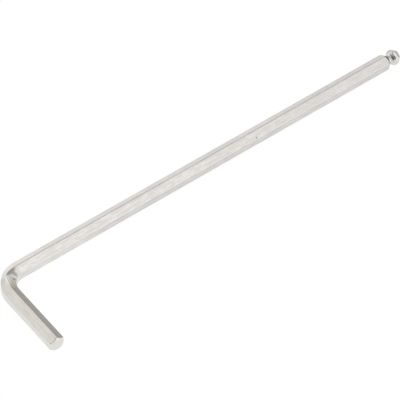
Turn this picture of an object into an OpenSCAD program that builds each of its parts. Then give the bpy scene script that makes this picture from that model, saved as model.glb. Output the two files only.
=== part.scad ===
// Hex key with a ball end, bent from one length of hexagonal bar.
// It lies flat: the bottom edges of both arms touch z = 0, the long arm runs
// along +X and the short arm runs along -Y.

/* [Bar] */
// Width across the flats
af = 5; // [3.5:0.1:12]
// Radius of the six long edges
edge_r = 0.37; // [0.1:0.01:0.6]

/* [Arms] */
// Length from the outside of the bend to the ball tip
long_len = 165; // [80:1:260]
// Length from the outside of the bend to the short end
short_len = 33; // [25:1:60]
// Radius on the inside of the bend
bend_r = 4.6; // [1:0.1:8]

/* [Short end] */
// Width of the chamfer left between the flats and the end face
rim_w = 0.4; // [0.1:0.05:0.8]
// Angle of the chamfer to the arm
rim_angle = 45; // [20:1:60]

/* [Ball end] */
// How much smaller the ball is across its flats than the bar
ball_play = 0.2; // [0.05:0.05:0.4]
// Width of the flat face on the ball's tip
tip_w = 2.3; // [1:0.1:3]
// Depth of the neck below the ball's flats
neck_depth = 0.9; // [0.3:0.05:1.1]
// Length of the neck between the ball and the shoulder
neck_len = 0.33; // [0.1:0.01:1.5]
// Radius in the corner between the neck and the shoulder
neck_fillet = 0.25; // [0.05:0.05:0.4]
// Angle of the shoulder to the arm
shoulder_angle = 38; // [25:1:60]

/* [Hidden] */
$fn = 96;

steel = [0.82, 0.81, 0.79];

// The bar's section: how far out the edge radii are centred, the height over
// the edges, and the outline's points, with one edge straight up
edge_pos = (af / 2 - edge_r) / cos(30);
bar_h = 2 * (edge_pos + edge_r);
edge_step = 10;
bar_outline = [
    for (a = [30 : 60 : 330], t = [-30 : edge_step : 30])
        edge_pos * [cos(a), sin(a)] + edge_r * [cos(a + t), sin(a + t)]
];

// The bend's centre line, and where the arms' axes lie
turn_r = bend_r + af / 2;
axis_x = -long_len / 2 + af / 2;
axis_y = short_len / 2 - af / 2;
axis_z = bar_h / 2;

// The short end
face_r = af / 2 - rim_w;
rim_len = (bar_h / 2 - face_r) / tan(rim_angle);

// The ball end, measured back from the ball's centre
ball_r = (af - ball_play) / 2;
tip_len = sqrt(ball_r * ball_r - tip_w * tip_w / 4);
neck_r = ball_r - neck_depth;
neck_start = sqrt(ball_r * ball_r - neck_r * neck_r);
shoulder_foot = neck_start + neck_len;
shoulder_len = (bar_h / 2 - neck_r) / tan(shoulder_angle);
ball_x = long_len / 2 - tip_len;

// Straight bar along +X from the origin
module bar(len) {
    rotate([90, 0, 90])
        linear_extrude(len)
            polygon(bar_outline);
}

// Quarter turn that joins the two arms
module bend() {
    rotate([0, 0, 90])
        rotate_extrude(angle = 90)
            translate([turn_r, 0])
                polygon(bar_outline);
}

// Outline that the neck, its fillet and the shoulder are turned to: the radius
// lies along x and the way back from the ball's centre along y
module turned_outline(len) {
    foot = [neck_r, shoulder_foot];
    slope = [sin(shoulder_angle), cos(shoulder_angle)];
    grow = (shoulder_len + 1) / cos(shoulder_angle);
    lip = neck_fillet * tan(shoulder_angle / 2);
    polygon([
        [0, 0],
        [neck_r, 0],
        foot,
        foot + grow * slope,
        [foot[0] + grow * slope[0], len],
        [0, len]
    ]);
    difference() {
        polygon([foot, foot - [0, lip], foot + [neck_fillet, -lip], foot + lip * slope]);
        translate(foot + [neck_fillet, -lip])
            circle(r = neck_fillet);
    }
}

// Ball with six flanks, each curved along the axis so that it drives at a tilt
module ball() {
    intersection() {
        intersection_for(a = [0, 60, 120])
            rotate([a, 0, 0])
                cylinder(r = ball_r, h = 2 * af, center = true);
        translate([-ball_r, -af, -af])
            cube([ball_r + tip_len, 2 * af, 2 * af]);
    }
}

// Cone and plain length that chamfer the short end's edges, from its face at z = 0
module rim_cone(len) {
    cone_len = rim_len + 1;
    cone_r = face_r + cone_len * tan(rim_angle);
    cylinder(r1 = face_r, r2 = cone_r, h = cone_len);
    translate([0, 0, cone_len])
        cylinder(r = cone_r, h = len);
}

module long_arm() {
    start = axis_x + turn_r;
    len = ball_x - start;
    intersection() {
        translate([start, axis_y, 0])
            bar(len);
        translate([ball_x, axis_y, 0])
            rotate([0, -90, 0])
                rotate_extrude()
                    turned_outline(len + 1);
    }
    translate([ball_x, axis_y, 0])
        ball();
}

module short_arm() {
    len = short_len - af / 2 - turn_r;
    intersection() {
        translate([axis_x, axis_y - turn_r, 0])
            rotate([0, 0, -90])
                bar(len);
        translate([axis_x, -short_len / 2, 0])
            rotate([-90, 0, 0])
                rim_cone(len);
    }
}

module hex_key() {
    color(steel)
        translate([0, 0, axis_z]) {
            long_arm();
            short_arm();
            translate([axis_x + turn_r, axis_y - turn_r, 0])
                bend();
        }
}

hex_key();
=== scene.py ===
import math
import bmesh
import bpy
from mathutils import Matrix, Vector


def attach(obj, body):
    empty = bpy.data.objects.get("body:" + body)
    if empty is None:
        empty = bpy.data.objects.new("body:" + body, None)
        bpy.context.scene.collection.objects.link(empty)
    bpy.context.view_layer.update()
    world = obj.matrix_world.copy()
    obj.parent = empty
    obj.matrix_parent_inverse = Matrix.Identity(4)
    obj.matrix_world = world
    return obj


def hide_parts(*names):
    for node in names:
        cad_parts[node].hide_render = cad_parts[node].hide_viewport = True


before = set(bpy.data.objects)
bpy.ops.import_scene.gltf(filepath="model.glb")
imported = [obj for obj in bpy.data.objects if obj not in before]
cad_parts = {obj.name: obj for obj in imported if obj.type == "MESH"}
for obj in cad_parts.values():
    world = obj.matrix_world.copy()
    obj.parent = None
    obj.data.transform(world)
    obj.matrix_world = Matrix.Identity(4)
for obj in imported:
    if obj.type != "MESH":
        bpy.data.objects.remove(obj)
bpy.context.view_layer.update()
print("frame loaded")

# the key is modelled in millimetres, then brought down to metres
millimetre = 0.001
mergeReach = 0.0005  # points nearer than this, in millimetres, become one

keySizes = {
    "acrossFlats": 5.0,
    "edgeRadius": 0.37,
    "longLength": 165.0,
    "shortLength": 33.0,
    "bendInside": 4.6,
    "bendSteps": 40,
    "edgeSteps": 6,
    "endReach": 0.01,  # how near the bar's end a face lies to be its end face
    "squareOn": 0.9,
}

# the bending die pushes the bar's top and bottom edges outwards
pressSizes = {
    "out": 0.8,
    "middle": 45.0,  # degrees round the bend from the long arm
    "spread": 17.0,
    "edgeHeight": 2.5,  # the edges are the points further from mid height than this
    "ringReach": 0.5,  # degrees either side of one ring of points
}

# chamfer turned on the short end
rimSizes = {
    "width": 0.4,
    "angle": 45.0,
    "steps": 144,
    "cutLength": 3.0,
    "cutPast": 1.0,
    "cutRadius": 6.0,
    "softEdge": 0.07,
    "softSteps": 3,
    "softReach": 1.5,
    "sharpFrom": 22.0,  # degrees between two faces from which their edge is rounded
}

ballSizes = {
    "play": 0.2,
    "edgeRadius": 0.35,
    "tipWidth": 2.3,
    "rootRadius": 1.327,  # half the width at which the ball starts, inside the neck
    "neckDepth": 0.9,
    "neckLength": 0.33,
    "neckFillet": 0.25,
    "filletSteps": 6,
    "shoulderAngle": 38.0,
    "cutPast": 1.0,
    "cutRadius": 5.0,
    "rings": 30,
    "steps": 144,
}

hexAngle = math.radians(30)
halfFlats = keySizes["acrossFlats"] / 2
edgePlace = (halfFlats - keySizes["edgeRadius"]) / math.cos(hexAngle)
turnRadius = keySizes["bendInside"] + halfFlats
axisX = -keySizes["longLength"] / 2 + halfFlats
axisY = keySizes["shortLength"] / 2 - halfFlats
axisZ = edgePlace + keySizes["edgeRadius"]
bendX = axisX + turnRadius
bendY = axisY - turnRadius
bendLength = turnRadius * math.pi / 2
shortEndY = -keySizes["shortLength"] / 2

ballRadius = halfFlats - ballSizes["play"] / 2
tipReach = math.sqrt(ballRadius ** 2 - (ballSizes["tipWidth"] / 2) ** 2)
ballX = keySizes["longLength"] / 2 - tipReach
neckRadius = ballRadius - ballSizes["neckDepth"]
shoulderFoot = math.sqrt(ballRadius ** 2 - neckRadius ** 2) + ballSizes["neckLength"]


def clearPick():
    bpy.ops.object.select_all(action="DESELECT")


def pickOnly(piece):
    clearPick()
    piece.select_set(True)
    bpy.context.view_layer.objects.active = piece


def openEdit(piece):
    pickOnly(piece)
    bpy.ops.object.mode_set(mode="EDIT")


def closeEdit():
    bpy.ops.object.mode_set(mode="OBJECT")


def pickFaces(piece, test):
    # selects the faces whose middle and normal pass the test
    bpy.ops.mesh.select_mode(type="FACE")
    bpy.ops.mesh.select_all(action="DESELECT")
    mesh = bmesh.from_edit_mesh(piece.data)
    for face in mesh.faces:
        if test(face.calc_center_median(), face.normal):
            face.select_set(True)
    bmesh.update_edit_mesh(piece.data)


def pickPoints(piece, test):
    bpy.ops.mesh.select_mode(type="VERT")
    bpy.ops.mesh.select_all(action="DESELECT")
    mesh = bmesh.from_edit_mesh(piece.data)
    for point in mesh.verts:
        if test(point.co):
            point.select_set(True)
    bmesh.update_edit_mesh(piece.data)


def pickEdges(piece, test):
    bpy.ops.mesh.select_mode(type="EDGE")
    bpy.ops.mesh.select_all(action="DESELECT")
    mesh = bmesh.from_edit_mesh(piece.data)
    for edge in mesh.edges:
        if test(edge):
            edge.select_set(True)
    bmesh.update_edit_mesh(piece.data)


def settle(piece):
    # merges doubles and turns every face outwards
    openEdit(piece)
    bpy.ops.mesh.select_all(action="SELECT")
    bpy.ops.mesh.remove_doubles(threshold=mergeReach)
    bpy.ops.mesh.normals_make_consistent(inside=False)
    closeEdit()


def applyPlace(piece):
    pickOnly(piece)
    bpy.ops.object.transform_apply(location=True, rotation=True, scale=True)


def cutWith(piece, tool, how):
    # boolean, applied, and the tool goes away
    pickOnly(piece)
    step = piece.modifiers.new("cut", "BOOLEAN")
    step.operation = how
    step.solver = "EXACT"
    step.object = tool
    bpy.ops.object.modifier_apply(modifier=step.name)
    bpy.data.objects.remove(tool, do_unlink=True)


def hexFace(name, flats, edgeRadius, place):
    # rounded hexagon across the X direction, one edge straight up
    clearPick()
    bpy.ops.mesh.primitive_circle_add(
        vertices=6, radius=flats / math.cos(hexAngle), fill_type="NGON",
        location=place, rotation=(math.pi / 2, 0, math.pi / 2))
    piece = bpy.context.active_object
    piece.name = name
    applyPlace(piece)
    openEdit(piece)
    bpy.ops.mesh.select_all(action="SELECT")
    bpy.ops.mesh.bevel(
        offset_type="OFFSET", offset=edgeRadius * math.tan(hexAngle),
        segments=keySizes["edgeSteps"], profile=0.5, affect="VERTICES", clamp_overlap=True)
    closeEdit()
    return piece


def turned(name, outline, toWorld, steps):
    # closed outline of (along, out) points, spun round the axis into a ring
    clearPick()
    bpy.ops.mesh.primitive_plane_add(size=1)
    piece = bpy.context.active_object
    piece.name = name
    openEdit(piece)
    bpy.ops.mesh.select_mode(type="VERT")
    bpy.ops.mesh.select_all(action="SELECT")
    bpy.ops.mesh.merge(type="CENTER")
    start = Vector((outline[0][0], 0, outline[0][1]))
    bpy.ops.transform.translate(value=start)
    for (fromAlong, fromOut), (along, out) in zip(outline, outline[1:] + outline[:1]):
        bpy.ops.mesh.extrude_region_move(
            TRANSFORM_OT_translate={"value": (along - fromAlong, 0, out - fromOut)})
    bpy.ops.mesh.select_all(action="SELECT")
    bpy.ops.mesh.spin(steps=steps, angle=math.tau, center=(0, 0, 0), axis=(1, 0, 0))
    closeEdit()
    piece.matrix_world = toWorld
    applyPlace(piece)
    settle(piece)
    return piece


def atBendStart(middle, normal):
    near = middle.x < bendX + keySizes["endReach"]
    return near and abs(normal.x) > keySizes["squareOn"]


def atBendEnd(middle, normal):
    near = middle.y < bendY + keySizes["endReach"]
    return near and abs(normal.y) > keySizes["squareOn"]


def bendBar():
    # one length of bar: long arm, quarter turn, short arm
    bar = hexFace("hexKey", halfFlats, keySizes["edgeRadius"], (bendX, axisY, axisZ))
    openEdit(bar)
    bpy.ops.mesh.select_all(action="SELECT")
    bpy.ops.mesh.extrude_region_move(TRANSFORM_OT_translate={"value": (ballX - bendX, 0, 0)})
    pickFaces(bar, atBendStart)
    bpy.ops.mesh.spin(
        steps=keySizes["bendSteps"], angle=-math.pi / 2,
        center=(bendX, bendY, axisZ), axis=(0, 0, 1))
    pickFaces(bar, atBendEnd)
    bpy.ops.mesh.extrude_region_move(TRANSFORM_OT_translate={"value": (0, shortEndY - bendY, 0)})
    closeEdit()
    settle(bar)
    return bar


def isEdge(point):
    return abs(point.z - axisZ) > pressSizes["edgeHeight"]


def pressedOut(turn):
    # how far the edges move outwards at this turn of the bend, in degrees
    away = (turn - pressSizes["middle"]) / pressSizes["spread"]
    return pressSizes["out"] * math.exp(-away * away)


def pressRing(piece, turn):
    # one ring of points round the bend: its top and bottom edges move outwards
    def onRing(point):
        angle = math.degrees(math.atan2(bendX - point.x, point.y - bendY))
        return isEdge(point) and abs(angle - turn) < pressSizes["ringReach"]

    grow = 1 + pressedOut(turn) / turnRadius
    pickPoints(piece, onRing)
    bpy.ops.transform.resize(value=(grow, grow, 1), center_override=(bendX, bendY, axisZ))


def pressBend(piece):
    openEdit(piece)
    for step in range(1, keySizes["bendSteps"]):
        pressRing(piece, 90 * step / keySizes["bendSteps"])
    closeEdit()


def rimCutter():
    # ring that turns the chamfer on the short end
    face = halfFlats - rimSizes["width"]
    length = rimSizes["cutLength"]
    past = rimSizes["cutPast"]
    outer = rimSizes["cutRadius"]
    flare = face + length * math.tan(math.radians(rimSizes["angle"]))
    outline = [(0, face), (-length, flare), (-length, outer), (past, outer), (past, face)]
    place = Matrix.Translation((axisX, shortEndY, axisZ)) @ Matrix.Rotation(-math.pi / 2, 4, "Z")
    return turned("rimCutter", outline, place, rimSizes["steps"])


def neckCutter():
    # ring that turns the shoulder, its fillet and the neck
    angle = math.radians(ballSizes["shoulderAngle"])
    fillet = ballSizes["neckFillet"]
    past = ballSizes["cutPast"]
    outer = ballSizes["cutRadius"]
    along = -shoulderFoot + fillet * math.tan(angle / 2)
    out = neckRadius + fillet
    arc = []
    for step in range(ballSizes["filletSteps"] + 1):
        turn = angle * step / ballSizes["filletSteps"]
        arc.append((along - fillet * math.sin(turn), out - fillet * math.cos(turn)))
    slopeEnd = (-shoulderFoot - (outer - neckRadius) / math.tan(angle), outer)
    outline = [(past, neckRadius)] + arc + [slopeEnd, (past, outer)]
    place = Matrix.Translation((ballX, axisY, axisZ))
    return turned("neckCutter", outline, place, ballSizes["steps"])


def makeBall():
    # rounded hexagon, drawn out ring by ring along the six curved flanks
    first = -math.acos(ballSizes["rootRadius"] / ballRadius)
    last = math.asin(tipReach / ballRadius)
    rings = []
    for step in range(ballSizes["rings"] + 1):
        turn = first + (last - first) * step / ballSizes["rings"]
        rings.append((ballRadius * math.sin(turn), ballRadius * math.cos(turn)))
    rootAlong, rootFlats = rings[0]
    rootEdge = ballSizes["edgeRadius"] * rootFlats / ballRadius
    ball = hexFace("ball", rootFlats, rootEdge, (ballX + rootAlong, axisY, axisZ))
    openEdit(ball)
    bpy.ops.mesh.select_all(action="SELECT")
    for (fromAlong, fromFlats), (along, flats) in zip(rings, rings[1:]):
        bpy.ops.mesh.extrude_region_move(
            TRANSFORM_OT_translate={"value": (along - fromAlong, 0, 0)})
        grow = flats / fromFlats
        bpy.ops.transform.resize(
            value=(1, grow, grow), center_override=(ballX + along, axisY, axisZ))
    closeEdit()
    settle(ball)
    return ball


def softenRim(piece):
    # small rounding on the sharp edges that the turning tool left on the short end
    def isSharp(edge):
        middle = (edge.verts[0].co + edge.verts[1].co) / 2
        inReach = middle.y < shortEndY + rimSizes["softReach"]
        sharpFrom = math.radians(rimSizes["sharpFrom"])
        return inReach and edge.is_manifold and edge.calc_face_angle() > sharpFrom

    openEdit(piece)
    pickEdges(piece, isSharp)
    bpy.ops.mesh.bevel(
        offset_type="OFFSET", offset=rimSizes["softEdge"], segments=rimSizes["softSteps"],
        profile=0.5, affect="EDGES", clamp_overlap=True)
    closeEdit()


key = bendBar()
pressBend(key)
print("bar bent:", len(key.data.vertices), "points")
cutWith(key, rimCutter(), "DIFFERENCE")
cutWith(key, neckCutter(), "DIFFERENCE")
cutWith(key, makeBall(), "UNION")
settle(key)
softenRim(key)
print("ends turned:", len(key.data.vertices), "points")


def barPlace(point):
    # way along the bar, way out across the bend, and height, in millimetres
    height = point.z - axisZ
    if point.x >= bendX:
        return (point.x - bendX, point.y - axisY, height)
    if point.y <= bendY:
        return (point.y - bendY - bendLength, axisX - point.x, height)
    away = Vector((point.x - bendX, point.y - bendY))
    turn = math.atan2(-away.x, away.y)
    pressed = pressedOut(math.degrees(turn)) if isEdge(point) else 0
    return (-turn * turnRadius, away.length - turnRadius - pressed, height)


# the bar's own coordinates stay on the mesh, so that the drawn lines follow the bend
places = key.data.attributes.new("barPlace", "FLOAT_VECTOR", "POINT")
for index, vertex in enumerate(key.data.vertices):
    places.data[index].vector = barPlace(vertex.co)

key.scale = (millimetre, millimetre, millimetre)
applyPlace(key)
print("key in metres:", [round(size, 5) for size in key.dimensions])


def addNode(tree, kind, **settings):
    node = tree.nodes.new(kind)
    for name, value in settings.items():
        setattr(node, name, value)
    return node


def setInputs(node, values):
    for name, value in values.items():
        node.inputs[name].default_value = value
    return node


def feed(tree, socket, value):
    # a number or a colour is set on the socket, and anything else is linked to it
    if isinstance(value, (int, float, tuple)):
        socket.default_value = value
    else:
        tree.links.new(value, socket)


def mathNode(tree, operation, first, second=0.0, clamp=False):
    node = addNode(tree, "ShaderNodeMath", operation=operation, use_clamp=clamp)
    feed(tree, node.inputs[0], first)
    feed(tree, node.inputs[1], second)
    return node.outputs[0]


def distanceNode(tree, first, second):
    squares = mathNode(
        tree, "ADD", mathNode(tree, "MULTIPLY", first, first),
        mathNode(tree, "MULTIPLY", second, second))
    return mathNode(tree, "SQRT", squares)


def rangeNode(tree, value, fromRange, toRange=(0.0, 1.0), smooth=True):
    node = addNode(tree, "ShaderNodeMapRange", clamp=True)
    if smooth:
        node.interpolation_type = "SMOOTHSTEP"
    setInputs(node, {"From Min": fromRange[0], "From Max": fromRange[1],
                     "To Min": toRange[0], "To Max": toRange[1]})
    tree.links.new(value, node.inputs["Value"])
    return node.outputs["Result"]


def noiseNode(tree, vector, noise):
    node = addNode(tree, "ShaderNodeTexNoise")
    setInputs(node, {"Scale": noise["scale"], "Detail": noise["detail"],
                     "Roughness": noise["roughness"]})
    tree.links.new(vector, node.inputs["Vector"])
    return node.outputs["Fac"]


def stretchNode(tree, vector, stretch):
    node = addNode(tree, "ShaderNodeVectorMath", operation="MULTIPLY")
    feed(tree, node.inputs[0], vector)
    feed(tree, node.inputs[1], stretch)
    return node.outputs[0]


def placeNode(tree):
    node = addNode(tree, "ShaderNodeAttribute", attribute_name="barPlace")
    return node.outputs["Vector"]


def placeWays(tree):
    # the bar's own coordinates one by one: X along, Y out, Z up
    split = addNode(tree, "ShaderNodeSeparateXYZ")
    tree.links.new(placeNode(tree), split.inputs[0])
    return split.outputs


def newGroup(name, inputs, outputs):
    group = bpy.data.node_groups.new(name, "ShaderNodeTree")
    for socket, kind in inputs.items():
        group.interface.new_socket(socket, in_out="INPUT", socket_type=kind)
    for socket in outputs:
        group.interface.new_socket(socket, in_out="OUTPUT", socket_type="NodeSocketFloat")
    return group


# grain of the satin plating, in the bar's own coordinates
grainLook = {
    "lines": {"scale": 1.0, "detail": 3.0, "roughness": 0.5},
    "lineShare": 0.6,
    "fineLines": {"scale": 4.3, "detail": 2.0, "roughness": 0.5},
    "fineLineShare": 0.4,
    "streaks": {"scale": 1.0, "detail": 4.0, "roughness": 0.68},
    "streakStretch": (0.30, 1.30, 1.30),
    "streakRange": (0.36, 0.64),
    "clouds": {"scale": 0.11, "detail": 3.0, "roughness": 0.5},
    "cloudRange": (0.35, 0.65),
    "specks": {"scale": 9.0, "detail": 2.0, "roughness": 0.7},
    "speckRange": (0.68, 0.80),
    "wornRange": (2.66, 2.80),  # millimetres from the bar's axis
}


def platingGroup():
    # drawn lines are stretched by the caller's way along and across
    group = newGroup(
        "satinPlating", {"Stretch": "NodeSocketVector", "Edge Wear": "NodeSocketFloat"},
        ("Lines", "Streaks", "Clouds", "Specks", "Worn"))
    given = addNode(group, "NodeGroupInput").outputs
    result = addNode(group, "NodeGroupOutput").inputs
    place = placeNode(group)
    ways = placeWays(group)
    drawn = stretchNode(group, place, given["Stretch"])
    coarse = noiseNode(group, drawn, grainLook["lines"])
    fine = noiseNode(group, drawn, grainLook["fineLines"])
    lines = mathNode(
        group, "ADD", mathNode(group, "MULTIPLY", coarse, grainLook["lineShare"]),
        mathNode(group, "MULTIPLY", fine, grainLook["fineLineShare"]))
    wide = stretchNode(group, place, grainLook["streakStretch"])
    streaks = rangeNode(
        group, noiseNode(group, wide, grainLook["streaks"]), grainLook["streakRange"])
    clouds = rangeNode(
        group, noiseNode(group, place, grainLook["clouds"]), grainLook["cloudRange"])
    specks = rangeNode(
        group, noiseNode(group, place, grainLook["specks"]), grainLook["speckRange"],
        smooth=False)
    radius = distanceNode(group, ways["Y"], ways["Z"])
    worn = mathNode(
        group, "MULTIPLY", rangeNode(group, radius, grainLook["wornRange"]),
        given["Edge Wear"])
    group.links.new(lines, result["Lines"])
    group.links.new(streaks, result["Streaks"])
    group.links.new(clouds, result["Clouds"])
    group.links.new(specks, result["Specks"])
    group.links.new(worn, result["Worn"])
    return group


markShape = {
    "core": 0.35,  # share of the reach that has the full tint
    "above": 0.3,  # height over mid height, so that marks lie on the upper side alone
}


def markGroup():
    # soft oval at one place on the upper side
    sizes = ("Along", "Out", "Reach Along", "Reach Out", "Share")
    group = newGroup("softMark", {size: "NodeSocketFloat" for size in sizes}, ("Mask",))
    given = addNode(group, "NodeGroupInput").outputs
    result = addNode(group, "NodeGroupOutput").inputs
    ways = placeWays(group)
    along = mathNode(
        group, "DIVIDE", mathNode(group, "SUBTRACT", ways["X"], given["Along"]),
        given["Reach Along"])
    out = mathNode(
        group, "DIVIDE", mathNode(group, "SUBTRACT", ways["Y"], given["Out"]),
        given["Reach Out"])
    away = distanceNode(group, along, out)
    oval = rangeNode(group, away, (markShape["core"], 1.0), (1.0, 0.0))
    above = mathNode(group, "GREATER_THAN", ways["Z"], markShape["above"])
    mask = mathNode(group, "MULTIPLY", mathNode(group, "MULTIPLY", oval, given["Share"]), above)
    group.links.new(mask, result["Mask"])
    return group


# fine dark line where the chamfer meets the flats
rimLineLook = {
    "share": 0.72,
    "inner": (0.01, 0.05),  # millimetres past the chamfer's cone, where the line starts
    "outer": (0.17, 0.27),  # and where it ends
    "fromEnd": 0.2,
    "above": 1.3,
}


def rimLineGroup():
    group = newGroup("rimLine", {}, ("Mask",))
    result = addNode(group, "NodeGroupOutput").inputs
    ways = placeWays(group)
    fromEnd = mathNode(group, "SUBTRACT", ways["X"], shortEndY - bendY - bendLength)
    slope = math.tan(math.radians(rimSizes["angle"]))
    cone = mathNode(
        group, "ADD", mathNode(group, "MULTIPLY", fromEnd, slope),
        halfFlats - rimSizes["width"])
    past = mathNode(group, "SUBTRACT", cone, distanceNode(group, ways["Y"], ways["Z"]))
    line = mathNode(
        group, "MULTIPLY",
        rangeNode(group, past, rimLineLook["inner"], (0.0, rimLineLook["share"])),
        rangeNode(group, past, rimLineLook["outer"], (1.0, 0.0)))
    onTop = mathNode(
        group, "MULTIPLY", mathNode(group, "GREATER_THAN", fromEnd, rimLineLook["fromEnd"]),
        mathNode(group, "GREATER_THAN", ways["Z"], rimLineLook["above"]))
    group.links.new(mathNode(group, "MULTIPLY", line, onTop), result["Mask"])
    return group


plating = platingGroup()
softMark = markGroup()
rimLine = rimLineGroup()

# drawn flats of the bar
barFinish = {
    "colour": (0.842, 0.827, 0.80, 1.0),
    "cloudColour": (0.74, 0.725, 0.695, 1.0),
    "cloudShare": 0.50,
    "streakColour": (0.60, 0.587, 0.56, 1.0),
    "streakShare": 0.48,
    "wornColour": (0.75, 0.74, 0.72, 1.0),
    "edgeWear": 0.8,
    "stretch": (0.035, 2.4, 2.4),
    "rough": (0.17, 0.33),
    "bump": 0.35,
    "bumpDepth": 0.00002,
}

# turned and milled faces of the ball end
turnedFinish = {
    "colour": (0.80, 0.79, 0.77, 1.0),
    "cloudColour": (0.75, 0.735, 0.71, 1.0),
    "cloudShare": 0.35,
    "streakColour": (0.72, 0.705, 0.68, 1.0),
    "streakShare": 0.15,
    "wornColour": (0.79, 0.775, 0.75, 1.0),
    "edgeWear": 0.0,
    "stretch": (9.0, 0.2, 0.2),
    "rough": (0.10, 0.20),
    "bump": 0.20,
    "bumpDepth": 0.00001,
}

# chamfer of the short end, duller than the ball end
rimFinish = dict(turnedFinish, rough=(0.32, 0.44))

# how the grain shows, the same on each finish
grainShow = {
    "lineRange": (0.38, 0.62),
    "lineShare": 0.35,
    "speckColour": (0.50, 0.48, 0.46, 1.0),
    "speckShare": 0.30,
    "roughRange": (0.3, 0.7),
    "streakRough": 0.03,
    "wornSmooth": 0.06,
}

# tints: dark for real marks and for painted shade, deeper for painted shade, bright for painted
# highlights
darkMarkAndShade = (0.20, 0.185, 0.165, 1.0)
paintedDeepShade = (0.11, 0.10, 0.09, 1.0)
paintedHighlight = (0.98, 0.97, 0.95, 1.0)

# marks on the bar and painted light on its bend: way along and way out, reach both ways, share of
# the tint
barMarksAndPaintedLight = [
    {"at": (-3.4, -0.15), "reach": (2.6, 1.15), "share": 0.67},  # painted shade on the bend's inner upper face
    # painted shade on the bend
    {"at": (-3.3, -1.45), "reach": (1.1, 1.1), "share": 0.55},
    # painted highlight on the bend
    {"at": (-7.0, -0.4), "reach": (2.6, 0.9), "share": 0.9, "colour": paintedHighlight},
    # painted shade on the bend
    {"at": (-5.5, -1.85), "reach": (0.7, 0.5), "share": 0.62},
    {"at": (93.2, -2.10), "reach": (0.36, 0.36), "share": 0.78},  # pit on the long arm
    {"at": (140.0, 1.4), "reach": (26.0, 1.6), "share": 0.08},  # duller far end of one flat
]

# painted light on the ball end: painted shade in the corner of the shoulder, painted highlights on
# the neck, painted shade on the flanks of the ball
ballPaintedShadeAndHighlights = [
    {"at": (150.2, -0.20), "reach": (1.25, 1.25), "share": 1.0, "colour": paintedDeepShade},
    {"at": (150.8, 0.90), "reach": (0.8, 1.6), "share": 0.55},
    {"at": (150.5, -2.0), "reach": (0.8, 0.9), "share": 0.40},
    {"at": (152.4, -1.55), "reach": (1.1, 0.75), "share": 0.60},
    {"at": (153.4, 1.0), "reach": (2.6, 1.9), "share": 0.30},
    {"at": (151.4, -0.9), "reach": (0.9, 0.9), "share": 1.0, "colour": paintedHighlight},
    {"at": (151.9, 0.9), "reach": (0.6, 0.6), "share": 0.6, "colour": paintedHighlight},
    {"at": (152.0, -1.0), "reach": (0.45, 0.5), "share": 0.75},
    {"at": (152.6, 1.8), "reach": (0.9, 0.8), "share": 0.35},
]


def tint(tree, share, under, over):
    mix = addNode(tree, "ShaderNodeMix", data_type="RGBA")
    tree.links.new(share, mix.inputs["Factor"])
    feed(tree, mix.inputs[6], under)
    feed(tree, mix.inputs[7], over)
    return mix.outputs[2]


def markMask(tree, mark):
    node = addNode(tree, "ShaderNodeGroup", node_tree=softMark)
    setInputs(node, {"Along": mark["at"][0], "Out": mark["at"][1],
                     "Reach Along": mark["reach"][0], "Reach Out": mark["reach"][1],
                     "Share": mark["share"]})
    return node.outputs["Mask"]


def tintedGrain(tree, grain, finish, marks):
    # plating colour with its clouds, worn edges, streaks, lines and specks, then the marks, with
    # painted shade and painted highlights among them
    clouds = mathNode(tree, "MULTIPLY", grain["Clouds"], finish["cloudShare"])
    streaks = mathNode(tree, "MULTIPLY", grain["Streaks"], finish["streakShare"])
    specks = mathNode(tree, "MULTIPLY", grain["Specks"], grainShow["speckShare"])
    lines = rangeNode(tree, grain["Lines"], grainShow["lineRange"],
                      (0.0, grainShow["lineShare"]), smooth=False)
    colour = tint(tree, clouds, finish["colour"], finish["cloudColour"])
    colour = tint(tree, grain["Worn"], colour, finish["wornColour"])
    colour = tint(tree, streaks, colour, finish["streakColour"])
    colour = tint(tree, lines, colour, finish["cloudColour"])
    colour = tint(tree, specks, colour, grainShow["speckColour"])
    rimMask = addNode(tree, "ShaderNodeGroup", node_tree=rimLine).outputs["Mask"]
    colour = tint(tree, rimMask, colour, darkMarkAndShade)
    for mark in marks:
        colour = tint(tree, markMask(tree, mark), colour, mark.get("colour", darkMarkAndShade))
    return colour


def makeFinish(name, finish, marks):
    material = bpy.data.materials.new(name)
    material.use_nodes = True
    tree = material.node_tree
    tree.nodes.clear()
    grainNode = addNode(tree, "ShaderNodeGroup", node_tree=plating)
    setInputs(grainNode, {"Stretch": finish["stretch"], "Edge Wear": finish["edgeWear"]})
    grain = grainNode.outputs
    shader = addNode(tree, "ShaderNodeBsdfPrincipled")
    setInputs(shader, {"Metallic": 1.0})
    tree.links.new(tintedGrain(tree, grain, finish, marks), shader.inputs["Base Color"])
    lined = rangeNode(
        tree, grain["Lines"], grainShow["roughRange"], finish["rough"], smooth=False)
    streaked = mathNode(tree, "MULTIPLY", grain["Streaks"], grainShow["streakRough"])
    rough = mathNode(tree, "ADD", lined, streaked)
    smoother = mathNode(tree, "MULTIPLY", grain["Worn"], grainShow["wornSmooth"])
    roughness = mathNode(tree, "SUBTRACT", rough, smoother, clamp=True)
    tree.links.new(roughness, shader.inputs["Roughness"])
    bump = addNode(tree, "ShaderNodeBump")
    setInputs(bump, {"Strength": finish["bump"], "Distance": finish["bumpDepth"]})
    tree.links.new(grain["Lines"], bump.inputs["Height"])
    tree.links.new(bump.outputs["Normal"], shader.inputs["Normal"])
    output = addNode(tree, "ShaderNodeOutputMaterial")
    tree.links.new(shader.outputs[0], output.inputs["Surface"])
    return material


key.data.materials.append(makeFinish("platedBar", barFinish, barMarksAndPaintedLight))
key.data.materials.append(makeFinish("platedTurned", turnedFinish, ballPaintedShadeAndHighlights))
key.data.materials.append(makeFinish("platedRim", rimFinish, []))

# how far the turned faces reach along the bar, and how far they lean from its flats
turnedReach = {"shoulder": 2.2, "rim": 1.2, "lean": 0.2}


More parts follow.
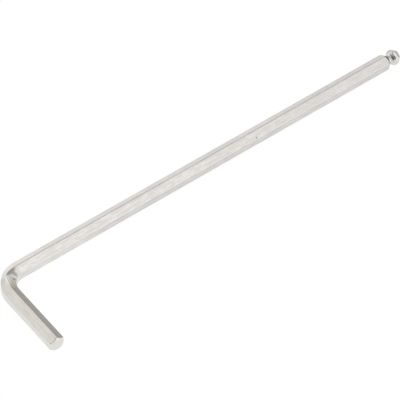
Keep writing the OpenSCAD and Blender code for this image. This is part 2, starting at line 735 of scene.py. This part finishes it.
def finishIndex(face):
    # 0 for the bar's flats, 1 for the ball end, 2 for the chamfer
    middle = face.center / millimetre
    along = face.normal.x if middle.x > bendX else -face.normal.y
    foot = ballX - shoulderFoot
    leans = abs(along) > turnedReach["lean"]
    if middle.x > foot or (middle.x > foot - turnedReach["shoulder"] and leans):
        return 1
    if middle.y < shortEndY + turnedReach["rim"] and abs(face.normal.y) > turnedReach["lean"]:
        return 2
    return 0


for face in key.data.polygons:
    face.material_index = finishIndex(face)

shadeLook = {"smoothBelow": 24.0, "weight": 100}

pickOnly(key)
bpy.ops.object.shade_smooth_by_angle(angle=math.radians(shadeLook["smoothBelow"]))
weighted = key.modifiers.new("flatFaces", "WEIGHTED_NORMAL")
weighted.mode = "FACE_AREA"
weighted.weight = shadeLook["weight"]
weighted.keep_sharp = True
bpy.ops.object.modifier_apply(modifier=weighted.name)

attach(key, "root")
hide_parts("hex_key")
print("finish on")

floorLook = {
    "size": 6.0,
    "colour": (0.90, 0.90, 0.90, 1.0),
    "shade": (0.10, 0.10, 0.10, 1.0),  # what of it takes the key's shadow in the picture
    "shown": 0.93,
    "mirroredShort": 0.91,  # glow that the short arm mirrors
    "mirroredLong": 0.80,  # and the long arm
    "mirroredRange": (-0.060, -0.030),
}


def layFloor():
    clearPick()
    bpy.ops.mesh.primitive_plane_add(size=floorLook["size"], location=(0, 0, 0))
    floor = bpy.context.active_object
    floor.name = "floor"
    material = bpy.data.materials.new("floorPale")
    material.use_nodes = True
    tree = material.node_tree
    tree.nodes.clear()
    plain = addNode(tree, "ShaderNodeBsdfDiffuse")
    setInputs(plain, {"Color": floorLook["colour"]})
    shade = addNode(tree, "ShaderNodeBsdfDiffuse")
    setInputs(shade, {"Color": floorLook["shade"]})
    glow = addNode(tree, "ShaderNodeEmission")
    shown = addNode(tree, "ShaderNodeAddShader")
    tree.links.new(shade.outputs[0], shown.inputs[0])
    tree.links.new(glow.outputs[0], shown.inputs[1])
    rays = addNode(tree, "ShaderNodeLightPath").outputs
    place = addNode(tree, "ShaderNodeTexCoord")
    ways = addNode(tree, "ShaderNodeSeparateXYZ")
    tree.links.new(place.outputs["Object"], ways.inputs[0])
    mirrored = rangeNode(
        tree, ways.outputs["X"], floorLook["mirroredRange"],
        (floorLook["mirroredShort"], floorLook["mirroredLong"]))
    strength = addNode(tree, "ShaderNodeMix", data_type="FLOAT")
    tree.links.new(rays["Is Glossy Ray"], strength.inputs["Factor"])
    feed(tree, strength.inputs[2], floorLook["shown"])
    feed(tree, strength.inputs[3], mirrored)
    tree.links.new(strength.outputs[0], glow.inputs["Strength"])
    seen = mathNode(tree, "MAXIMUM", rays["Is Camera Ray"], rays["Is Glossy Ray"])
    choice = addNode(tree, "ShaderNodeMixShader")
    tree.links.new(seen, choice.inputs[0])
    tree.links.new(plain.outputs[0], choice.inputs[1])
    tree.links.new(shown.outputs[0], choice.inputs[2])
    output = addNode(tree, "ShaderNodeOutputMaterial")
    tree.links.new(choice.outputs[0], output.inputs["Surface"])
    floor.data.materials.append(material)
    return floor


floor = layFloor()

skyColour = (1.0, 0.98, 0.972, 1.0)
backgroundColour = (1.0, 1.0, 1.0, 1.0)

# soft darker and lighter parts of the studio: direction, half width, soft edge, brightness,
# each over the ones before it
studioParts = [
    {"toward": (-0.449, 0.477, 0.755), "width": 34.0, "edge": 12.0, "colour": (0.905, 0.888, 0.852)},
    {"toward": (-0.30, 0.95, 0.05), "width": 18.0, "edge": 8.0, "colour": (0.80, 0.79, 0.77)},
    {"toward": (0.42, 0.76, 0.50), "width": 17.0, "edge": 6.0, "colour": (0.36, 0.355, 0.345)},
    {"toward": (0.42, 0.08, 0.90), "width": 13.0, "edge": 6.0, "colour": (0.50, 0.49, 0.475)},
    {"toward": (0.60, 0.80, -0.05), "width": 12.0, "edge": 8.0, "colour": (0.76, 0.745, 0.73)},
    {"toward": (0.12, 0.98, 0.15), "width": 14.0, "edge": 8.0, "colour": (1.10, 1.085, 1.075)},
    {"toward": (-0.36, 0.93, 0.02), "width": 5.0, "edge": 3.0, "colour": (1.0, 0.985, 0.975)},
    {"toward": (-0.20, 0.925, 0.325), "width": 7.0, "edge": 3.0, "colour": (0.56, 0.55, 0.53)},
    {"toward": (0.42, -0.90, 0.12), "width": 24.0, "edge": 14.0, "colour": (1.12, 1.11, 1.10)},
    {"toward": (0.42, -0.74, 0.52), "width": 11.0, "edge": 6.0, "colour": (1.40, 1.385, 1.375)},
    {"toward": (0.46, -0.40, 0.79), "width": 12.0, "edge": 5.0, "colour": (0.88, 0.866, 0.868)},
    {"toward": (0.28, -0.425, 0.86), "width": 6.0, "edge": 5.0, "colour": (1.38, 1.36, 1.37)},
    {"toward": (0.93, 0.20, 0.28), "width": 29.0, "edge": 5.0, "colour": (0.57, 0.545, 0.51)},
    {"toward": (0.66, 0.40, 0.64), "width": 10.0, "edge": 4.0, "colour": (1.30, 1.285, 1.26)},
    {"toward": (0.99, -0.04, 0.10), "width": 9.0, "edge": 4.0, "colour": (0.40, 0.385, 0.36)},
    {"toward": (0.88, 0.48, 0.02), "width": 10.0, "edge": 6.0, "colour": (0.30, 0.287, 0.262)},
    {"toward": (-0.06, -0.46, 0.88), "width": 16.0, "edge": 3.0, "colour": (0.40, 0.39, 0.37)},
    {"toward": (-0.62, -0.41, 0.67), "width": 17.0, "edge": 4.0, "colour": (0.25, 0.243, 0.23)},
]


def partMask(tree, direction, part):
    # 1 inside the round part of the studio, falling to 0 over its soft edge
    aim = addNode(tree, "ShaderNodeVectorMath", operation="DOT_PRODUCT")
    tree.links.new(direction, aim.inputs[0])
    aim.inputs[1].default_value = Vector(part["toward"]).normalized()
    outer = math.cos(math.radians(part["width"] + part["edge"]))
    inner = math.cos(math.radians(part["width"] - part["edge"]))
    return rangeNode(tree, aim.outputs["Value"], (outer, inner))


def lightStudio():
    # the camera sees a white background, and the key mirrors and is lit by the studio
    world = bpy.data.worlds.new("studio")
    world.use_nodes = True
    bpy.context.scene.world = world
    tree = world.node_tree
    tree.nodes.clear()
    direction = addNode(tree, "ShaderNodeTexCoord").outputs["Generated"]
    level = skyColour
    for part in studioParts:
        level = tint(tree, partMask(tree, direction, part), level, part["colour"] + (1.0,))
    studio = addNode(tree, "ShaderNodeBackground")
    tree.links.new(level, studio.inputs["Color"])
    background = addNode(tree, "ShaderNodeBackground")
    setInputs(background, {"Color": backgroundColour})
    rays = addNode(tree, "ShaderNodeLightPath").outputs
    choice = addNode(tree, "ShaderNodeMixShader")
    tree.links.new(rays["Is Camera Ray"], choice.inputs[0])
    tree.links.new(studio.outputs[0], choice.inputs[1])
    tree.links.new(background.outputs[0], choice.inputs[2])
    output = addNode(tree, "ShaderNodeOutputWorld")
    tree.links.new(choice.outputs[0], output.inputs["Surface"])


# where the camera stands, and where its right side and its top point
cameraPlace = {
    "at": (-0.38868, -0.42962, 0.69018),
    "right": (0.78566, -0.61704, 0.04467),
    "up": (0.45163, 0.62139, 0.64023),
    "lens": 254.14,
    "sensor": 36.0,
    "clipStart": 0.01,
}


def placeCamera():
    right = Vector(cameraPlace["right"]).normalized()
    back = right.cross(Vector(cameraPlace["up"])).normalized()
    up = back.cross(right)
    cameraData = bpy.data.cameras.new("camera")
    cameraData.lens = cameraPlace["lens"]
    cameraData.sensor_width = cameraPlace["sensor"]
    cameraData.clip_start = cameraPlace["clipStart"]
    camera = bpy.data.objects.new("camera", cameraData)
    turn = Matrix((right, up, back)).transposed().to_4x4()
    camera.matrix_world = Matrix.Translation(cameraPlace["at"]) @ turn
    bpy.context.scene.collection.objects.link(camera)
    bpy.context.scene.camera = camera


lightStudio()
placeCamera()
bpy.context.scene.view_settings.view_transform = "Standard"
print("stage set")
